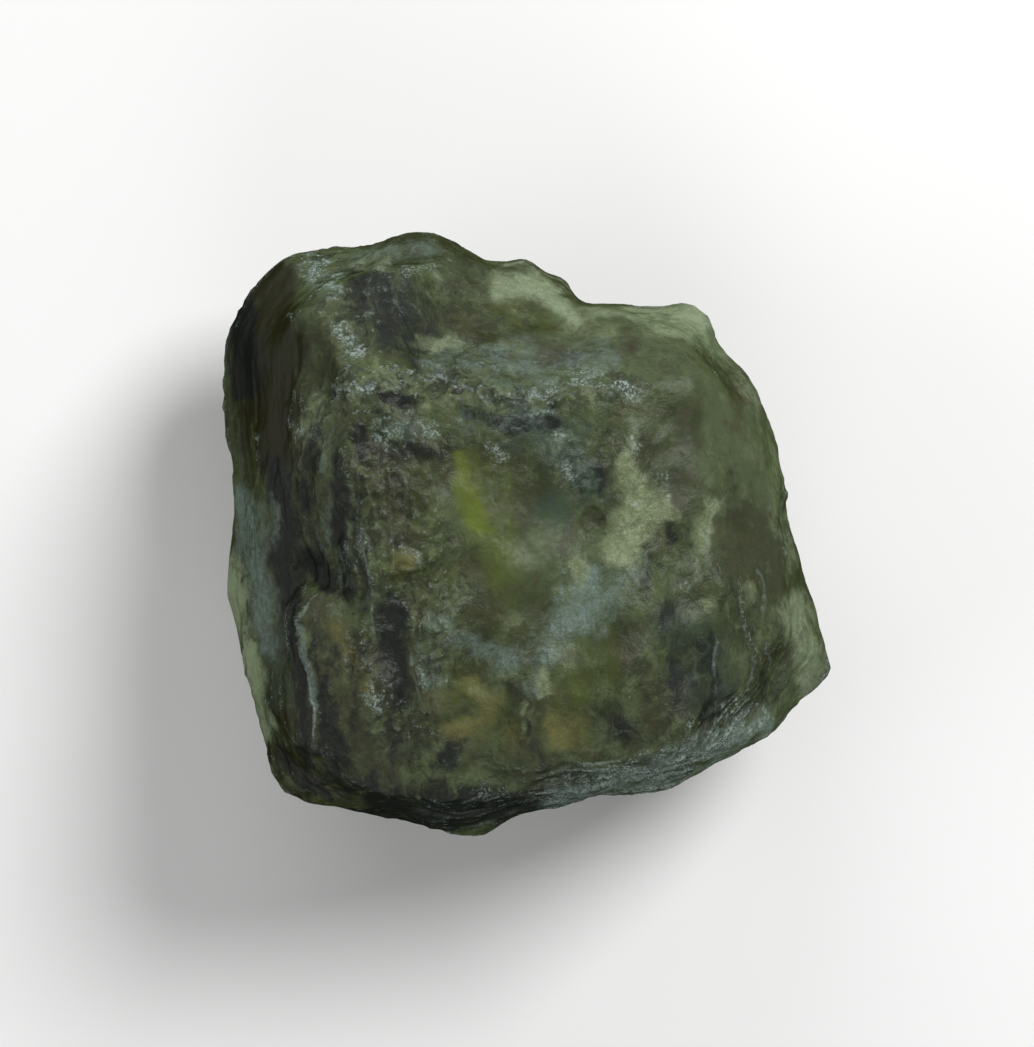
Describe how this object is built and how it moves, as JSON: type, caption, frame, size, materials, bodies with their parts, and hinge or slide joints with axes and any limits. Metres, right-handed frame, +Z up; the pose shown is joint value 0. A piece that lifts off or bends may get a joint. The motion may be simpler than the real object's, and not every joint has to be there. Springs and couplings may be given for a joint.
{
  "type": "rough tsavorite garnet",
  "caption": "Rough blocky piece of olive green garnet with a broad weathered face, striated sides, broken ledges and chips, lying on a flat fracture face.",
  "frame": {"origin": "under the middle of the stone's bounding box, on the surface that it lies on", "axes": "+Z up, out of the broad weathered face; +Y along the grain, towards the spur; +X towards the smooth side"},
  "size_m": [0.026, 0.026, 0.0195],
  "materials": {
    "garnet_crystal": "satin"
  },
  "bodies": {
    "root": {"garnet": "garnet_crystal"}
  },
  "joints": []
}
